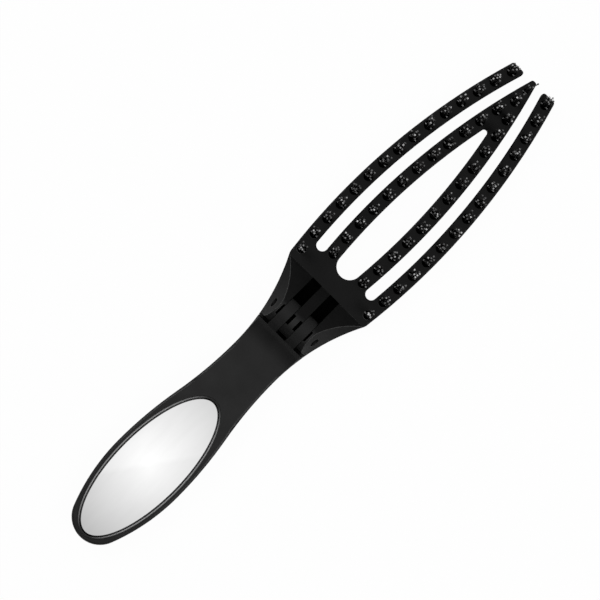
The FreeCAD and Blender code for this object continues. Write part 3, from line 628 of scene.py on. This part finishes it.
class Strands:
    """Gathers round strands into one mesh.

    Each point keeps how far along its strand it lies, and the tone of its strand.
    """

    def __init__(self):
        self.points = []
        self.faces = []
        self.along = []
        self.tone = []

    def add(self, centers, radii, along, sides, tone):
        """One strand through level rings, closed at both ends."""
        first = len(self.points)
        for (x, y, z), radius, share in zip(centers, radii, along):
            for side in range(sides):
                dx, dy = polar(radius, 2 * math.pi * side / sides)
                self.points.append((x + dx, y + dy, z))
                self.along.append(share)
                self.tone.append(tone)
        for ring in range(len(centers) - 1):
            low = first + ring * sides
            for side in range(sides):
                here, there = low + side, low + (side + 1) % sides
                self.faces.append((here, there, there + sides, here + sides))
        last = first + (len(centers) - 1) * sides
        self.faces.append(tuple(range(first + sides - 1, first - 1, -1)))
        self.faces.append(tuple(range(last, last + sides)))

    def build(self, name, material):
        """Piece with all strands gathered so far."""
        mesh = bpy.data.meshes.new(name)
        mesh.from_pydata(self.points, [], self.faces)
        for label, values in (("along", self.along), ("tone", self.tone)):
            mesh.attributes.new(label, "FLOAT", "POINT").data.foreach_set("value", values)
        mesh.shade_smooth()
        mesh.materials.append(material)
        piece = bpy.data.objects.new(name, mesh)
        bpy.context.scene.collection.objects.link(piece)
        return piece


class Tuft:
    """One tuft: its middle at the root, and the rake that carries its tips along the brush."""

    def __init__(self, middle, small, draw):
        self.middle = middle
        self.small = small
        self.draw = draw
        self.rake = (draw.uniform(*TUFT_RAKE), draw.uniform(-TUFT_SWAY, TUFT_SWAY))

    def bow(self, most):
        """Sideways bow in any direction, as it is at the middle of a strand."""
        amount = self.draw.uniform(0, most)
        return polar(amount, self.draw.uniform(0, 2 * math.pi))

    def tone(self, tones, power):
        """Brightness of one strand."""
        return tones[0] + (tones[1] - tones[0]) * self.draw.random() ** power

    def path(self, root, tip, bow):
        """Function from a share of a strand's height to its place in plan."""
        def place(share):
            bend = math.sin(math.pi * share)
            ends = zip(self.middle, self.rake, root, tip, bow)
            return [m + r * share + a + (b - a) * share + c * bend for m, r, a, b, c in ends]
        return place


def polar(radius, turn):
    """Place at a distance and a turn from the middle."""
    return radius * math.cos(turn), radius * math.sin(turn)


def add_hairs(strands, tuft):
    """Bundle of natural hairs, each splayed, bowed and cut to its own length."""
    draw = tuft.draw
    shares = [ring / (HAIR_RINGS - 1) for ring in range(HAIR_RINGS)]
    radii = [HAIR_RADIUS * (1 - HAIR_TAPER_SHARE * share ** 2) for share in shares]
    for index in range(HAIR_COUNT):
        radial = math.sqrt((index + draw.random()) / HAIR_COUNT)
        turn = draw.uniform(0, 2 * math.pi)
        root = polar(radial * HAIR_ROOT_SPREAD, turn)
        tip = polar(radial * HAIR_TIP_SPREAD * draw.uniform(*HAIR_LEAN_SHARES), turn)
        place = tuft.path(root, tip, tuft.bow(HAIR_BOW))
        rise = HAIR_REACH * draw.uniform(*HAIR_LENGTH_SHARES) - ROOT_LEVEL
        centers = [(*place(share), ROOT_LEVEL + rise * share) for share in shares]
        tone = tuft.tone(HAIR_TONES, HAIR_TONE_POWER)
        strands.add(centers, radii, shares, HAIR_SIDES, tone)


def add_pin(strands, tuft, place):
    """Nylon pin with a ball on its end."""
    top = PIN_REACH * tuft.draw.uniform(*PIN_LENGTH_SHARES)
    ball_level = top - BALL_RADIUS
    neck = math.acos(PIN_RADIUS / BALL_RADIUS)
    neck_level = ball_level - BALL_RADIUS * math.sin(neck)
    shaft = neck_level - ROOT_LEVEL
    bent = ball_level - ROOT_LEVEL
    levels = [ROOT_LEVEL + shaft * step / PIN_RINGS for step in range(PIN_RINGS)]
    centers = [(*place((level - ROOT_LEVEL) / bent), level) for level in levels]
    radii = [PIN_RADIUS] * PIN_RINGS
    for step in range(BALL_RINGS):
        angle = -neck + (math.pi / 2 * BALL_CAP_SHARE + neck) * step / (BALL_RINGS - 1)
        centers.append((*place(1.0), ball_level + BALL_RADIUS * math.sin(angle)))
        radii.append(BALL_RADIUS * math.cos(angle))
    along = [(z - ROOT_LEVEL) / (top - ROOT_LEVEL) for x, y, z in centers]
    strands.add(centers, radii, along, PIN_SIDES, tuft.tone(PIN_TONES, PIN_TONE_POWER))


def add_pins(strands, tuft):
    """Pins scattered through one tuft; at the point the first one is bent over the tip."""
    draw = tuft.draw
    count = POINT_PIN_COUNT if tuft.small else PIN_COUNT
    scale = POINT_SPREAD_SHARE if tuft.small else 1.0
    first_turn = draw.uniform(0, 2 * math.pi)
    for index in range(count):
        radial = scale * math.sqrt((index + draw.random()) / count)
        turn = first_turn + index * GOLDEN_TURN
        root = polar(radial * PIN_ROOT_SPREAD, turn)
        reach = polar(radial * PIN_TIP_SPREAD, turn)
        tip = [part + draw.uniform(-PIN_WANDER, PIN_WANDER) for part in reach]
        if tuft.small and index == 0:
            tip = [lean - rake for lean, rake in zip(STRAY_LEAN, tuft.rake)]
        add_pin(strands, tuft, tuft.path(root, tip, tuft.bow(PIN_BOW)))


def place_row(piece, node):
    """Lets a row of strands move with the head in place of its CAD node."""
    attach(piece, "head")
    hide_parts(node)


def build_bristles():
    """Hairs and pins of every row in place of the CAD bundles and pins."""
    hair = strand("boar_hair", HAIR_STOPS, HAIR_ROUGHNESS)
    nylon = strand("nylon_black", NYLON_STOPS, NYLON_ROUGHNESS)
    for number, row in enumerate(ROWS):
        draw = random.Random(number + 1)
        hairs = Strands()
        pins = Strands()
        for middle, half_length in tufts(row):
            tuft = Tuft(middle, half_length < POINT_STAPLE, draw)
            if not tuft.small:
                add_hairs(hairs, tuft)
            add_pins(pins, tuft)
        place_row(hairs.build(f"boar_hairs_{row}", hair), f"boar_tufts_{row}")
        place_row(pins.build(f"nylon_pins_{row}", nylon), f"ball_pins_{row}")


def add_plane(name, size, level, material):
    """Square level plate of the stage."""
    half = size / 2
    corners = [(-half, -half, 0), (half, -half, 0), (half, half, 0), (-half, half, 0)]
    mesh = bpy.data.meshes.new(name)
    mesh.from_pydata(corners, [], [(0, 1, 2, 3)])
    mesh.materials.append(material)
    plane = bpy.data.objects.new(name, mesh)
    plane.location.z = level
    bpy.context.scene.collection.objects.link(plane)
    return plane


def build_world():
    """World that is white where it is seen and dimmer as light."""
    world = bpy.data.worlds.new("studio")
    world.use_nodes = True
    tree = world.node_tree
    camera_ray = add(tree, "ShaderNodeLightPath").outputs["Is Camera Ray"]
    seen = math_node(tree, "ADD", camera_ray, reflected_rays(tree), clamp=True)
    level = remap(tree, seen, (0.0, 1.0), WORLD_LEVELS)
    tree.links.new(level, tree.nodes["Background"].inputs["Strength"])
    tree.nodes["Background"].inputs["Color"].default_value = grey(1.0)
    bpy.context.scene.world = world


def add_lamp(place):
    """Square lamp that shines at the middle of the brush."""
    data = bpy.data.lights.new("lamp", "AREA")
    data.energy = LAMP_POWER
    data.size = LAMP_SIZE
    lamp = bpy.data.objects.new("lamp", data)
    lamp.location = place
    lamp.rotation_euler = (-lamp.location).to_track_quat("-Z", "Y").to_euler()
    bpy.context.scene.collection.objects.link(lamp)


def build_stage():
    """White floor, ceiling card, a lamp on each side and a white world."""
    add_plane("floor", FLOOR_SIZE, FLOOR_LEVEL, stage_material("floor_white", white_floor))
    card = add_plane("card", CARD_SIZE, CARD_LEVEL, stage_material("card_light", ceiling_light))
    card.visible_camera = False
    for place in LAMP_PLACES:
        add_lamp(place)
    build_world()


def build_camera():
    """Camera straight above the brush, turned so that the tip points to the upper right."""
    data = bpy.data.cameras.new("camera")
    data.lens = LENS
    data.sensor_width = SENSOR
    camera = bpy.data.objects.new("camera", data)
    camera.location = (*VIEW_POINT, VIEW_LEVEL + VIEW_WIDTH * LENS / SENSOR)
    camera.rotation_euler.z = VIEW_TURN
    bpy.context.scene.collection.objects.link(camera)
    bpy.context.scene.camera = camera


finish_nodes()
build_bristles()
build_stage()
build_camera()
bpy.context.scene.view_settings.view_transform = "Standard"
